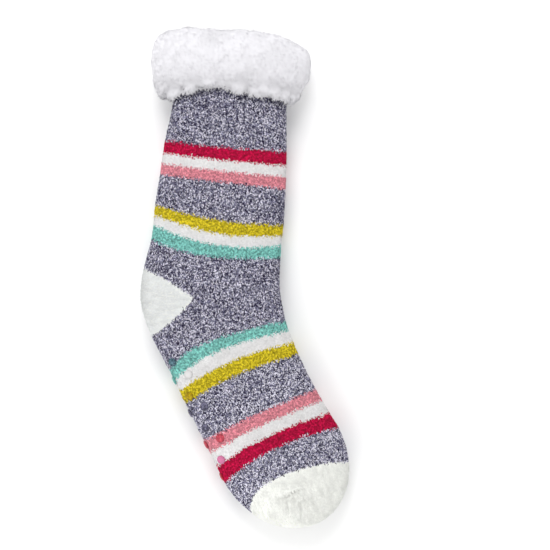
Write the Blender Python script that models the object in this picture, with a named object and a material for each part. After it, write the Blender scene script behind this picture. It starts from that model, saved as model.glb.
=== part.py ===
"""A sherpa-lined house sock, lying slack on its side with its flattened tube on the floor.

Frame: metres, +Z up. The sock lies in the XY plane with its leg towards +Y, its toe towards -Y and its
instep towards +X. The origin is on the floor, under the middle of the sock's box.

Three pieces are put together. The outer sock is knitted whole, so leg, heel, sole and toe are one hollow
solid. The sherpa lining is a second, thicker sock inside it, sewn from a leg piece and a foot piece that meet
at the instep. The leg piece's top is turned down over the knitted rim, which makes the cuff.
"""

import math
from collections import namedtuple

import bmesh
import bpy
import numpy as np

# Driving sizes of the flat sock
FOOT_LENGTH = 0.241
LEG_HEIGHT = 0.209
BALL_WIDTH = 0.108
LEG_WIDTH = 0.098
HEEL_TO_INSTEP = 0.118
THICK = 0.036

# Layers
KNIT_WALL = 0.0022
PILE_WALL = 0.0050
SEAT_GAP = 0.00035
SEAM_GAP = 0.0004
LINING_DEPTH = KNIT_WALL + SEAT_GAP
PILE_DEPTH = LINING_DEPTH + PILE_WALL

# How the leg and the foot lie, as angles from the Y axis
LEG_LEAN = math.radians(4.8)
FOOT_LEAN = math.radians(24.4)
ANKLE_X = -0.0290
ANKLE_Y = -0.01398

# Toe, rounded from the ball line to the tip
TOE_DEPTH = 0.0652
TOE_SWAY = 0.004
TOE_BLUNTNESS = 3.0
TOE_STATIONS = 8
TOE_LAST_TURN = 0.96

# The sections are flattened ovals that the floor presses flat underneath
SECTION_POWER = 2.5
FLOOR_PRESS = 0.0012
SECTION_POINTS = 36
TUBE_STATIONS = 25

# The lining's leg and foot meet at this station, counted from the ball line up
SEAM_STATION = 7

# The cuff is thick enough to hold the leg's top off the floor
LIFT = 0.0095

# Sections of the knitted tube, from the rim to the ball of the foot. along runs up the leg where it is
# negative and down the foot where it is positive, from the middle of the heel. sway is the section's middle
# off that line, towards the instep, and lean its slope in degrees, up towards the instep.
Course = namedtuple("Course", "name along sway lean width thick lift")
COURSES = (
    Course("rim", -1.00 * LEG_HEIGHT, 0.0000, -5.0, 0.95 * LEG_WIDTH, 0.80 * THICK, LIFT),
    Course("under_cuff", -0.76 * LEG_HEIGHT, 0.0018, -1.5, LEG_WIDTH, 0.84 * THICK, 0.70 * LIFT),
    Course("upper_leg", -0.59 * LEG_HEIGHT, 0.0020, -5.2, 1.05 * LEG_WIDTH, 0.95 * THICK, 0.15 * LIFT),
    Course("mid_leg", -0.44 * LEG_HEIGHT, 0.0008, -6.8, 1.09 * LEG_WIDTH, THICK, 0.0),
    Course("lower_leg", -0.31 * LEG_HEIGHT, 0.0000, -9.0, 1.115 * LEG_WIDTH, THICK, 0.0),
    Course("ankle", -0.18 * LEG_HEIGHT, 0.0012, -8.0, 1.125 * LEG_WIDTH, 1.02 * THICK, 0.0),
    Course("heel_top", -0.10 * LEG_HEIGHT, 0.0000, -2.0, 0.97 * HEEL_TO_INSTEP, 1.05 * THICK, 0.0),
    Course("heel", 0.00 * FOOT_LENGTH, 0.0000, 5.0, HEEL_TO_INSTEP, 1.08 * THICK, 0.0),
    Course("heel_low", 0.094 * FOOT_LENGTH, -0.0045, 12.5, 0.97 * HEEL_TO_INSTEP, 1.06 * THICK, 0.0),
    Course("instep", 0.175 * FOOT_LENGTH, -0.0050, 20.0, BALL_WIDTH, 1.04 * THICK, 0.0),
    Course("arch", 0.31 * FOOT_LENGTH, -0.0052, 23.5, 0.975 * BALL_WIDTH, THICK, 0.0),
    Course("waist", 0.45 * FOOT_LENGTH, -0.0042, 24.5, 0.97 * BALL_WIDTH, THICK, 0.0),
    Course("ball", 0.61 * FOOT_LENGTH, -0.0015, 26.0, 0.995 * BALL_WIDTH, 0.97 * THICK, 0.0),
)

# The turned-down top of the lining, from the hem inside to the lip. up is the height above the heel's middle
# along the leg, side and face how far it stands out of the knit at the sock's edges and on its flat faces,
# and arch how much higher it runs in the middle of the face than at the edges.
Fold = namedtuple("Fold", "name up side face arch")
FOLDS = (
    Fold("hem_inside", 0.1660, 0.0012, 0.0012, 0.007),
    Fold("hem_edge", 0.1622, 0.0045, 0.0035, 0.009),
    Fold("hem_outside", 0.1640, 0.0105, 0.0068, 0.009),
    Fold("low", 0.1730, 0.0165, 0.0095, 0.006),
    Fold("middle", 0.1900, 0.0190, 0.0108, 0.002),
    Fold("high", 0.2060, 0.0155, 0.0090, 0.000),
    Fold("shoulder", 0.2160, 0.0085, 0.0050, 0.000),
    Fold("crown", 0.2205, 0.0010, 0.0000, 0.000),
    Fold("lip", 0.2175, -0.0055, -0.0048, 0.000),
)

HEATHER_GREY = (0.23, 0.22, 0.28, 1.0)
SHERPA_WHITE = (0.86, 0.85, 0.88, 1.0)


def clear_scene():
    for leftover in list(bpy.data.objects):
        bpy.data.objects.remove(leftover, do_unlink=True)


def limb_axes(along):
    """The direction that along grows in, and the one across it towards the instep, in plan."""
    if along < 0:
        down = np.array([-math.sin(LEG_LEAN), -math.cos(LEG_LEAN)])
    else:
        down = np.array([math.sin(FOOT_LEAN), -math.cos(FOOT_LEAN)])
    return down, np.array([-down[1], down[0]])


def course_values(course):
    """One section as numbers: its middle in plan, lean, width, thickness and lift."""
    down, across = limb_axes(course.along)
    middle = np.array([ANKLE_X, ANKLE_Y]) + down * course.along + across * course.sway
    return np.array([*middle, math.radians(course.lean), course.width, course.thick, course.lift])


def smooth_between(knots, values, at):
    """A cubic through every row of values, with slopes taken from the neighbouring rows."""
    slopes = np.gradient(values, knots, axis=0)
    i = int(np.clip(np.searchsorted(knots, at) - 1, 0, len(knots) - 2))
    span = knots[i + 1] - knots[i]
    t = (at - knots[i]) / span
    rise = values[i + 1] - values[i]
    start, end = slopes[i] * span, slopes[i + 1] * span
    return values[i] + start * t + (3 * rise - 2 * start - end) * t**2 + (start + end - 2 * rise) * t**3


KNOTS = np.array([course.along for course in COURSES])
VALUES = np.array([course_values(course) for course in COURSES])
STATIONS = np.linspace(KNOTS[-1], KNOTS[0], TUBE_STATIONS)


def oval(values, side_in, face_in, arch=0.0):
    """One ring of points on a section, taken in by side_in at its edges and face_in on its faces."""
    x, y, lean, width, thick, lift = values
    half_width = width / 2 - side_in
    half_thick = thick / 2 - face_in
    turns = 2 * math.pi * np.arange(SECTION_POINTS) / SECTION_POINTS
    power = 2 / SECTION_POWER
    u = np.sign(np.cos(turns)) * np.abs(np.cos(turns)) ** power
    w = np.sign(np.sin(turns)) * np.abs(np.sin(turns)) ** power
    across = np.array([math.cos(lean), math.sin(lean)])
    up = np.array([-across[1], across[0]])
    plan = np.array([x, y]) + np.outer(u * half_width, across) + np.outer(arch * (1 - u**2), up)
    height = max(lift, 0.0) + thick / 2 - FLOOR_PRESS + w * half_thick
    return np.column_stack([plan, np.maximum(height, max(face_in, 0.0))])


def tube_ring(along, depth):
    return oval(smooth_between(KNOTS, VALUES, along), depth, depth)


def toe_ring(turn, depth):
    """A ring of the rounded toe. turn goes from 0 at the ball line to a quarter turn at the tip."""
    x, y, lean, width, thick, lift = VALUES[-1]
    down, across = limb_axes(KNOTS[-1])
    reach = (TOE_DEPTH - depth) * math.sin(turn)
    x, y = np.array([x, y]) + down * reach + across * TOE_SWAY * math.sin(turn)
    lean += (FOOT_LEAN - lean) * math.sin(turn)
    narrowed = math.cos(turn)
    thinned = (1 - math.sin(turn) ** TOE_BLUNTNESS) ** (1 / TOE_BLUNTNESS)
    side_in = width / 2 - (width / 2 - depth) * narrowed
    face_in = thick / 2 - (thick / 2 - depth) * thinned
    return oval((x, y, lean, width, thick, lift), side_in, face_in)


def tube_rings(stations, depth):
    return [tube_ring(along, depth) for along in stations]


def toe_rings(depth):
    """Rings from the tip of the toe up to the ball line, this deep under the knit's outer face."""
    toe_turns = [TOE_LAST_TURN * math.pi / 2 * k / TOE_STATIONS for k in range(TOE_STATIONS, 0, -1)]
    return [toe_ring(turn, depth) for turn in toe_turns]


def fold_ring(fold):
    return oval(smooth_between(KNOTS, VALUES, -fold.up), -fold.side, -fold.face, fold.arch)


def lofted(name, rings, colour, roughness, collection, ends_meet=False):
    """A closed solid with a skin over the rings in order. Both ends are capped, or the last meets the first.

    Each four-sided patch is split along the same diagonal, from its toe side to its collar side, so that the
    faces of two nested skins stay parallel.
    """
    form = bmesh.new()
    loops = [[form.verts.new(point) for point in ring] for ring in rings]
    for i in range(len(loops) if ends_meet else len(loops) - 1):
        j = (i + 1) % len(loops)
        rising = rings[j][:, 1].mean() > rings[i][:, 1].mean()
        toe_side, collar_side = (loops[i], loops[j]) if rising else (loops[j], loops[i])
        for k in range(SECTION_POINTS):
            after = (k + 1) % SECTION_POINTS
            form.faces.new((toe_side[k], toe_side[after], collar_side[after]))
            form.faces.new((toe_side[k], collar_side[after], collar_side[k]))
    for cap in () if ends_meet else (loops[0], loops[-1]):
        form.faces.new(cap)
    bmesh.ops.recalc_face_normals(form, faces=form.faces)
    mesh = bpy.data.meshes.new(name)
    form.to_mesh(mesh)
    form.free()
    mesh.shade_smooth()
    mesh.materials.append(plain_material(name, colour, roughness))
    piece = bpy.data.objects.new(name, mesh)
    collection.objects.link(piece)
    return piece


def plain_material(name, colour, roughness):
    material = bpy.data.materials.new(name)
    material.use_nodes = True
    shader = material.node_tree.nodes["Principled BSDF"]
    shader.inputs["Base Color"].default_value = colour
    shader.inputs["Roughness"].default_value = roughness
    shader.inputs["Metallic"].default_value = 0.0
    return material


def knit_outer(collection):
    """The knitted sock: its outer face up to the rim, then its inner face back down to the toe."""
    outer_face, inner_face = [toe_rings(depth) + tube_rings(STATIONS, depth) for depth in (0.0, KNIT_WALL)]
    return lofted("knit_outer", outer_face + inner_face[::-1], HEATHER_GREY, 0.9, collection)


def sherpa_leg(collection):
    """The lining's leg: its back against the knit, over the rim, the turned-down cuff, its pile inside."""
    stations = [STATIONS[SEAM_STATION] - SEAM_GAP / 2, *STATIONS[SEAM_STATION + 1 :]]
    back_face, pile_face = tube_rings(stations, LINING_DEPTH), tube_rings(stations, PILE_DEPTH)
    rim_top = tube_ring(KNOTS[0] - SEAT_GAP, LINING_DEPTH)
    over_rim = tube_ring(KNOTS[0] - SEAT_GAP, -SEAT_GAP)
    hem_start = -FOLDS[0].up
    down_outside = tube_rings([along for along in STATIONS[::-1] if along < hem_start], -SEAT_GAP)
    cuff = [fold_ring(fold) for fold in FOLDS]
    rings = back_face + [rim_top, over_rim] + down_outside + cuff + pile_face[::-1]
    return lofted("sherpa_leg", rings, SHERPA_WHITE, 1.0, collection, ends_meet=True)


def sherpa_foot(collection):
    """The lining's foot: its back against the knit from the toe up to the seam, and its pile face inside."""
    stations = [*STATIONS[:SEAM_STATION], STATIONS[SEAM_STATION] + SEAM_GAP / 2]
    back_face, pile_face = [toe_rings(d) + tube_rings(stations, d) for d in (LINING_DEPTH, PILE_DEPTH)]
    return lofted("sherpa_foot", back_face + pile_face[::-1], SHERPA_WHITE, 1.0, collection)


def main():
    clear_scene()
    collection = bpy.data.collections.new("house_sock")
    bpy.context.scene.collection.children.link(collection)
    knit_outer(collection)
    sherpa_leg(collection)
    sherpa_foot(collection)


main()
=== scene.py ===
"""A slack, sherpa-lined house sock lying on its side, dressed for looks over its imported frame.

The sock's surface is one function of the place along it, from the rim of the leg to the tip of the toe, and
of the turn around it. The knit, its fuzzy yarn, the sherpa with the turned-down cuff and the grip dots all
take their places from that function. Lengths are metres, +Y points from the toe to the cuff, +X to the instep
and +Z up from the floor.
"""

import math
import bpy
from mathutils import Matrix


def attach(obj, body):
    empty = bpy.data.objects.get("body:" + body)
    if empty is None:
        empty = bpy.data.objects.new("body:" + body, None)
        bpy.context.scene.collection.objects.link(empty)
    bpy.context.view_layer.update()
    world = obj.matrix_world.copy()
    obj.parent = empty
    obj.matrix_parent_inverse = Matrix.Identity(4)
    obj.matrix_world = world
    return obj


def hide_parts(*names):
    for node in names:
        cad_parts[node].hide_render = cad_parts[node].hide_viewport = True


bl_info = {
    "name": "House Sock",
    "version": (1, 0, 0),
    "blender": (4, 5, 0),
    "location": "3D Viewport > Sidebar > House Sock",
    "description": "Makes a slack sherpa-lined house sock that lies on its side",
    "category": "Add Mesh",
}

from collections import namedtuple

import bmesh
import bpy
import numpy as np
from bpy.props import FloatProperty, FloatVectorProperty, IntProperty, PointerProperty
from mathutils import Vector, noise
from mathutils.kdtree import KDTree

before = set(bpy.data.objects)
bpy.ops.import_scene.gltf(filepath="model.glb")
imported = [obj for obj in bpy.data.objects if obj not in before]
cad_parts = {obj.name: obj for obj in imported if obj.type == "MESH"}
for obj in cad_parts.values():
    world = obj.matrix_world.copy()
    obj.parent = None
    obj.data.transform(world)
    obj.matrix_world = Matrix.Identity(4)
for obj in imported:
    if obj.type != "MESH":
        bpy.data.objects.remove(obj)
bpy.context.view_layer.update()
BODY = "root"


def srgb(red, green, blue):
    """A colour given as 0 to 255 display values, as the linear values that shaders take."""
    shares = (value / 255 for value in (red, green, blue))
    return tuple(v / 12.92 if v <= 0.04045 else ((v + 0.055) / 1.055) ** 2.4 for v in shares)


def length(name, default, description):
    said = {"name": name, "description": description, "default": default}
    return FloatProperty(**said, min=0.0, unit="LENGTH", precision=4)


def colour(name, default, description):
    said = {"name": name, "description": description, "default": srgb(*default)}
    return FloatVectorProperty(**said, subtype="COLOR", size=3, min=0.0, max=1.0)


def number(name, default, description):
    return IntProperty(name=name, description=description, default=default, min=100)


def level(name, default, description, unit="NONE"):
    return FloatProperty(name=name, description=description, default=default, min=0.0, unit=unit)


class SockSizes(bpy.types.PropertyGroup):
    """Sizes of the flat sock."""

    foot_length: length("Foot length", 0.241, "From the back of the heel to the tip of the toe")
    leg_height: length("Leg height", 0.209, "From the middle of the heel to the knitted rim")
    ball_width: length("Ball width", 0.108, "Flat width at the ball of the foot")
    leg_width: length("Leg width", 0.098, "Flat width of the leg under the cuff")
    heel_to_instep: length("Heel to instep", 0.118, "Flat width over heel and instep")
    thick: length("Thickness", 0.036, "Thickness of the slack sock as it lies")
    knit_wall: length("Knit wall", 0.0022, "Thickness of the knit with its fuzzy face")
    pile_wall: length("Pile wall", 0.0050, "Thickness of the sherpa inside")
    seat_gap: length("Seat gap", 0.00035, "Space between knit and sherpa")
    toe_depth: length("Toe depth", 0.0652, "From the ball line to the tip of the toe")
    cuff_lift: length("Cuff lift", 0.0095, "How far the cuff holds the rim off the floor")


class YarnColours(bpy.types.PropertyGroup):
    """Colours of the yarns and the sherpa."""

    heather_dark: colour("Heather dark", (45, 41, 62), "Dark strand of the heather yarn")
    heather_mid: colour("Heather mid", (120, 119, 142), "Middle strand of the heather yarn")
    heather_pale: colour("Heather pale", (209, 207, 219), "Pale strand of the heather yarn")
    crimson: colour("Crimson", (175, 14, 61), "Crimson bands")
    pink: colour("Pink", (207, 131, 142), "Pink bands")
    yellow: colour("Yellow", (195, 177, 37), "Yellow bands")
    teal: colour("Teal", (120, 184, 176), "Teal bands")
    white: colour("White", (220, 219, 219), "White bands")
    brushed: colour("Brushed white", (238, 239, 234), "Brushed yarn of heel and toe")
    sherpa: colour("Sherpa", (222, 221, 225), "Sherpa lining and cuff")


class PileLook(bpy.types.PropertyGroup):
    """The fuzzy face of the yarn."""

    tufts: number("Tufts", 126000, "Tufts over the whole sock")
    tuft_length: length("Tuft length", 0.0022, "Usual length of one tuft")
    tuft_width: length("Tuft width", 0.00092, "Usual width of one tuft at its middle")
    tuft_rise: length("Tuft rise", 0.0008, "How far a tuft stands off the knit")
    fray: length("Fray", 0.00035, "How far tufts of one band stray into the next")


class SherpaLook(bpy.types.PropertyGroup):
    """The lumps and curls of the sherpa."""

    lump_size: length("Lump size", 0.0086, "Usual distance between two lumps")
    lump_height: length("Lump height", 0.0042, "Depth of the clefts between lumps")
    curls: number("Curls", 46000, "Fibre curls on the cuff and in the mouth")
    curl_length: length("Curl length", 0.0036, "Usual length of one curl")
    curl_width: length("Curl width", 0.0004, "Usual width of one curl")


class GripLook(bpy.types.PropertyGroup):
    """The drops of gel on the sole."""

    diameter: length("Diameter", 0.0074, "Width of one grip dot")
    height: length("Height", 0.0010, "Height of one grip dot")
    pitch: length("Pitch", 0.0289, "Distance between dots in one row along the sole")


class StageLook(bpy.types.PropertyGroup):
    """Floor, light and camera."""

    floor: colour("Floor", (250, 250, 250), "Colour of the plain floor")
    sky: level("Sky", 0.70, "Strength of the soft light overhead")
    sides: level("Sides", 1.36, "Strength of the soft light low down")
    key: level("Key", 9.4, "Power of the main lamp", "POWER")
    fill: level("Fill", 6.8, "Power of the second lamp", "POWER")
    view_width: length("View width", 0.462, "Width of the camera's view at the sock")


class HouseSock(bpy.types.PropertyGroup):
    """Everything that can be changed on the sock."""

    sizes: PointerProperty(type=SockSizes)
    yarns: PointerProperty(type=YarnColours)
    pile: PointerProperty(type=PileLook)
    sherpa: PointerProperty(type=SherpaLook)
    grip: PointerProperty(type=GripLook)
    stage: PointerProperty(type=StageLook)


# How the leg and the foot lie, as angles from the Y axis, and where the middle of the heel is
LEG_LEAN = math.radians(4.8)
FOOT_LEAN = math.radians(24.4)
ANKLE = np.array([-0.0290, -0.01398])

# The sections are flattened ovals that the floor presses flat underneath
SECTION_POWER = 2.5
FLOOR_PRESS = 0.0012

# How far the toe's tip is off the foot's line, how blunt it is, and where its last ring lies as a share
# of the quarter turn that would close it
TOE_SWAY = 0.004
TOE_BLUNTNESS = 3.0
TOE_LAST_TURN = 0.985

# Sections of the knitted tube from the rim to the ball of the foot. along is a share of the leg's height
# where it is negative and of the foot's length where it is positive. sway is the section's middle off the
# limb's line, lean its slope in degrees, and bow how far its knitted rows sag towards the toe in the
# middle of a face. width is a share of the named size, thick of the sock's thickness and lift of the cuff's
# lift.
Course = namedtuple("Course", "name along sway lean size width thick lift bow")
COURSES = (
    Course("rim", -1.00, 0.0000, -5.0, "leg_width", 0.95, 0.80, 1.00, 0.0000),
    Course("under_cuff", -0.76, 0.0025, -1.5, "leg_width", 0.985, 0.84, 0.70, 0.0000),
    Course("upper_leg", -0.59, 0.0020, -5.2, "leg_width", 1.063, 0.95, 0.15, 0.0018),
    Course("mid_leg", -0.44, 0.0021, -6.8, "leg_width", 1.10, 1.00, 0.00, 0.0010),
    Course("lower_leg", -0.31, 0.0017, -9.0, "leg_width", 1.127, 1.00, 0.00, 0.0040),
    Course("ankle", -0.18, 0.0012, -8.0, "leg_width", 1.137, 1.02, 0.00, 0.0082),
    Course("heel_top", -0.10, -0.0007, -2.0, "heel_to_instep", 0.982, 1.05, 0.00, 0.0040),
    Course("heel", 0.000, -0.0002, 5.0, "heel_to_instep", 1.004, 1.08, 0.00, 0.0000),
    Course("heel_low", 0.094, -0.0043, 12.5, "heel_to_instep", 0.966, 1.06, 0.00, -0.0040),
    Course("instep", 0.175, -0.0050, 20.0, "ball_width", 1.00, 1.04, 0.00, -0.0061),
    Course("arch", 0.310, -0.0052, 23.5, "ball_width", 0.975, 1.00, 0.00, -0.0048),
    Course("waist", 0.450, -0.0042, 24.5, "ball_width", 0.97, 1.00, 0.00, -0.0024),
    Course("ball", 0.610, -0.0015, 26.0, "ball_width", 0.995, 0.97, 0.00, -0.0100),
)

# The turned-down top of the sherpa, from the hem inside to the lip. up is the height above the heel's
# middle along the leg, side and face how far it stands out of the knit at the sock's edges and on its
# flat faces, arch how much higher it runs in the middle of the face than at the edges, skew how far that
# moves to the heel's side, and tuck and nip how far it is drawn in at the instep and at the back of the
# leg.
Fold = namedtuple("Fold", "name up side face arch skew tuck nip")
FOLDS = (
    Fold("hem_inside", 0.1665, 0.0012, 0.0012, 0.0055, 0.6, 0.0000, 0.0000),
    Fold("hem_edge", 0.1627, 0.0045, 0.0035, 0.0070, 0.6, 0.0012, 0.0010),
    Fold("hem_outside", 0.1645, 0.0105, 0.0058, 0.0070, 0.6, 0.0030, 0.0026),
    Fold("low", 0.1732, 0.0165, 0.0086, 0.0050, 0.4, 0.0030, 0.0004),
    Fold("middle", 0.1900, 0.0190, 0.0108, 0.0020, 0.0, -0.0004, 0.0000),
    Fold("high", 0.2058, 0.0155, 0.0090, 0.0004, 0.0, -0.0035, -0.0024),
    Fold("shoulder", 0.2150, 0.0090, 0.0050, 0.0012, 0.0, -0.0032, -0.0024),
    Fold("crown", 0.2188, 0.0010, 0.0000, 0.0020, 0.0, -0.0004, 0.0000),
    Fold("lip", 0.2160, -0.0055, -0.0048, 0.0018, 0.0, 0.0000, 0.0000),
)
HEM_INSIDE, HEM = FOLDS[:2]
LAST_FOLD = len(FOLDS) - 1

# The arch is this share higher in one nick, at this place across the face, where the fold is skewed
NICK, NICK_AT, NICK_WIDTH = 0.5, -0.18, 0.12

# Knitted bands, by their yarn and where they start and end along the sock
Band = namedtuple("Band", "yarn start end")
BANDS = (
    Band("crimson", -0.1246, -0.1138),
    Band("white", -0.1138, -0.1046),
    Band("pink", -0.1046, -0.0951),
    Band("yellow", -0.0666, -0.0579),
    Band("white", -0.0579, -0.0500),
    Band("teal", -0.0500, -0.0390),
    Band("teal", 0.0422, 0.0524),
    Band("white", 0.0524, 0.0637),
    Band("yellow", 0.0637, 0.0752),
    Band("pink", 0.1091, 0.1205),
    Band("white", 0.1205, 0.1328),
    Band("crimson", 0.1328, 0.1472),
)

# Under the heel the rows are drawn towards the toe at the sole's fold: how far, from which place across
# the face, and where along the sock
SOLE_DRAW, SOLE_DRAW_FROM, SOLE_DRAW_AT, SOLE_DRAW_SPREAD = 0.0050, 0.35, 0.046, 0.010

# Each yarn, how light the knit between its tufts is, with shade under the fuzz painted into it, how much
# that knit is flecked, how far its dye goes up and down from tuft to tuft, how much a tuft is shaded by
# its own faces and not by the surface under it, and the power that gel deepens its colour by
Yarn = namedtuple("Yarn", "name shade fleck mottle own gel")
YARNS = (
    Yarn("heather", 0.80, 1.00, 0.25, 0.40, 1.95),
    Yarn("crimson", 0.75, 0.50, 0.50, 0.40, 1.35),
    Yarn("pink", 0.85, 0.50, 0.40, 0.40, 2.00),
    Yarn("yellow", 0.75, 0.50, 0.55, 0.40, 1.90),
    Yarn("teal", 0.80, 0.50, 0.55, 0.40, 2.60),
    Yarn("white", 1.00, 0.05, 0.10, 0.30, 2.00),
    Yarn("brushed", 1.00, 0.05, 0.05, 0.15, 1.75),
)
YARN_NAMES = [yarn.name for yarn in YARNS]
HEATHER, BRUSHED = YARN_NAMES.index("heather"), YARN_NAMES.index("brushed")

# The brushed yarn lies in longer and thinner hairs, combed to the back edge at the heel and to the tip at
# the toe
BRUSHED_RUN, BRUSHED_WIDTH = 1.8, 0.6
BRUSHED_SPREAD = math.radians(28)
HEEL_COMB = np.array([-1.0, 0.0, -0.25])
TOE_COMB = np.array([math.sin(FOOT_LEAN), -math.cos(FOOT_LEAN), -0.25])

# Smooth noise that moves a surface or shades it: how much, how wide its features are, and where it is sampled
Ripple = namedtuple("Ripple", "height size seed")
NOISE_SHIFT = np.array([1.0, 0.37, 0.71])

# Yarn is lighter and darker in soft clumps. In the brushed yarn they are streaks, drawn out along the comb by
# this share.
YARN_CLUMPS = Ripple(0.10, 0.006, 4.0)
YARN_STREAKS, STREAK_DRAWN = Ripple(0.16, 0.0030, 4.0), 0.65

# A shadow is painted on the yarn just under the hem. The heel is greyer and cooler than the toe, and
# painted shade darkens it most at its back edge. Towards the toe, light is painted on the yarn along the
# sole.
HEM_SHADOW, HEM_SHADOW_REACH = 0.45, 0.0030
HEEL_TINT = np.array([0.89, 0.90, 0.94])
HEEL_EDGE_SHADE, HEEL_EDGE_REACH = 0.24, 0.0075
SOLE_LIGHT = 0.25

# The white heel, a rounded wedge that points from the back edge to the instep, and the white toe, whose edge
# swings towards the tip at both folds
HEEL_BACK = np.array([-0.0885, -0.0169])
HEEL_REACH = 0.0465
HEEL_ABOVE, HEEL_ABOVE_POWER = 0.0260, 1.3
HEEL_BELOW, HEEL_BELOW_POWER = 0.0350, 1.6
TOE_EDGE, TOE_EDGE_SLANT, TOE_EDGE_CURVE = 0.1625, 0.0045, 0.0095
TOE_EDGE_SOLE, TOE_EDGE_SOLE_FROM = 0.041, 0.45

# Soft creases on the flat faces: where each starts in plan, which way it runs in degrees from
# +X, how long, wide and deep it is
Crease = namedtuple("Crease", "name x y heading run width depth")
CREASES = (
    Crease("instep_bend", 0.030, -0.006, 186, 0.050, 0.0050, 0.0016),
    Crease("instep_low", 0.034, -0.028, 203, 0.042, 0.0045, 0.0012),
    Crease("instep_high", 0.029, 0.012, 172, 0.034, 0.0050, 0.0010),
    Crease("heel_fold", -0.080, 0.014, -14, 0.040, 0.0050, 0.0011),
    Crease("sole_fold", -0.070, -0.052, 18, 0.034, 0.0045, 0.0010),
    Crease("toe_pucker", 0.0225, -0.1845, 12, 0.028, 0.0011, 0.0015),
    Crease("toe_low", 0.0480, -0.2010, 94, 0.017, 0.0014, 0.0013),
    Crease("toe_mid", 0.0362, -0.1975, 92, 0.013, 0.0013, 0.0011),
    Crease("toe_across", 0.0400, -0.1862, 2, 0.018, 0.0012, 0.0009),
    Crease("under_cuff", -0.030, 0.146, -62, 0.032, 0.0050, 0.0010),
)

# A crease bends by this share of its length, and beside its trough runs a ridge: this many widths off,
# and this high for its depth
CREASE_BEND, RIDGE_OFF, RIDGE_SHARE = 0.12, 1.9, 0.6

# The slack knit sags in wide waves, and its stitches make it rough
SAG, STITCHES = Ripple(0.0006, 0.045, 3.0), Ripple(0.00022, 0.0034, 11.0)

# The cuff is clumpiest at its hem, where its curls are longer and wider and hang down, and a soft valley
# parts the hem from the puff above it. Rows are places in the folds above, counted from the first.
HEM_ROW, HEM_SPREAD, HEM_FRINGE = 1.6, 1.1, 0.0004
HEM_LONGER, HEM_WIDER = 0.1, 0.8
HEM_HANGS, HEM_HANGS_ABOVE, HEM_COMB_SPREAD = 0.35, 0.15, math.radians(55)
HEM_COMB = np.array([[-math.sin(LEG_LEAN), -math.cos(LEG_LEAN), 0.0]])
VALLEY_ROW, VALLEY_SPREAD, VALLEY_DEPTH = 2.80, 0.55, 0.0012

# Relief of the sherpa. Its streaks are longer than they are wide and deeper at the hem, its clumps are
# only at the hem, and all of it fades out from this row to the hem's inside.
BILLOWS, WISPS = Ripple(0.0019, 0.023, 5.0), Ripple(0.0002, 0.0028, 8.0)
STREAKS, STREAKS_AT_HEM = Ripple(0.0008, 0.0080, 2.0), 0.0004
STREAK_STRETCH = np.array([1.0, 0.45, 1.0])
HEM_CLUMPS = Ripple(0.0012, 0.0045, 6.0)
FULL_RELIEF_ROW = 1.5

# Lumps are round domes this many times as wide as their spacing, and melt into this many neighbours. They
# are counted over this area. Away from the hem they have this share of their height, and this is their
# middle level.
LUMP_SPREAD, LUMP_NEIGHBOURS, LUMP_MELT = 0.80, 4, 6.0
LUMP_AREA, LUMP_SHARE, LUMP_LEVEL = 0.075, 0.18, 0.7

# Shade is painted on the pile, this much in hollows of this depth, and this much at the hem, where it
# starts from a fold further up
HOLLOW_SHADE, HOLLOW_DEPTH = 0.18, 0.0026
HEM_SHADE, HEM_SHADE_FROM = 0.10, 4.8

# How fine the surfaces are, and the oval that their columns are spread evenly around
KNIT_ROWS, KNIT_TOE_ROWS, KNIT_COLUMNS, KNIT_BACK_ROWS = 232, 84, 256, 30
SHERPA_CUFF_ROWS, SHERPA_INSIDE_ROWS, SHERPA_COLUMNS, SHERPA_BACK_ROWS = 84, 70, 232, 26
DOT_RINGS, DOT_SIDES = 5, 20
ARC_SAMPLES = 4000
USUAL_HALF_WIDTH, USUAL_HALF_THICK = 0.054, 0.018

# The knit lies this deep under the sock's outer face, which the yarn's fuzz fills. Surfaces stay this far
# off the floor, and fibres half as far.
FUZZ_DEPTH = 0.0012
FLOOR_CLEAR = 0.00025

# How far up under the hem the fuzz and the sherpa's back go on
FUZZ_UNDER_HEM = 0.012
SHERPA_UNDER_HEM, SHERPA_UNDER_ROWS = 0.006, 4

# Where the random draws start
PILE_SEED, LUMP_SEED, CURL_SEED = 7, 13, 9

# The heather's dark strand takes this share, its middle strand reaches up to the second, and the pale strand
# gains this much from the heel to the toe
STRANDS = ("heather_dark", "heather_mid", "heather_pale")
HEATHER_SHARES = (0.39, 0.71)
HEATHER_LIGHTER = 0.14

# How wide the features of the materials are: the mottle of a dye, the flecks of the knit, the grain of
# knit and sherpa, which is this deep, and the clouds in the sherpa
DYE_SIZE, FLECK_SIZE = 0.0017, 0.0018
KNIT_GRAIN, SHERPA_GRAIN, GRAIN_DEPTH = 0.0014, 0.0016, 0.0006
SHERPA_CLOUD = 0.010

# Faces whose normals point further down than this carry this share of the tufts
DOWNWARD, UNDERNEATH = -0.5, 0.45

# From and to which share of the usual size tufts and curls are long, wide, high and high at the tip
TUFT_RUN, TUFT_WIDTH, TUFT_RISE, TUFT_TIP = (0.6, 1.35), (0.6, 1.3), (0.45, 1.25), (0.1, 1.1)
CURL_RUN, CURL_WIDTH, CURL_RISE, CURL_TIP = (0.6, 1.4), (0.6, 1.4), (0.4, 1.4), (-0.3, 1.0)

# The usual height of a curl
CURL_HEIGHT = 0.0004

# Tufts and curls are rooted this deep, and their normals are tipped at random by this much and upwards
TUFT_SINK, TUFT_RUFFLE, TUFT_LIFT = 0.0003, 0.22, np.array([0.0, 0.0, 0.3])
CURL_SINK, CURL_RUFFLE, CURL_LIFT = 0.0004, 0.12, np.array([0.0, 0.0, 0.8])

# Tufts head up to this far off the sock's length. Curls head any way, cover the sherpa from the first row
# to this far past the lip, and this share of their shading is their own.
TUFT_SPREAD = math.radians(70)
CURLS_FROM, CURLS_PAST_LIP, CURL_OWN = 1.0, 0.25, 0.25

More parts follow.
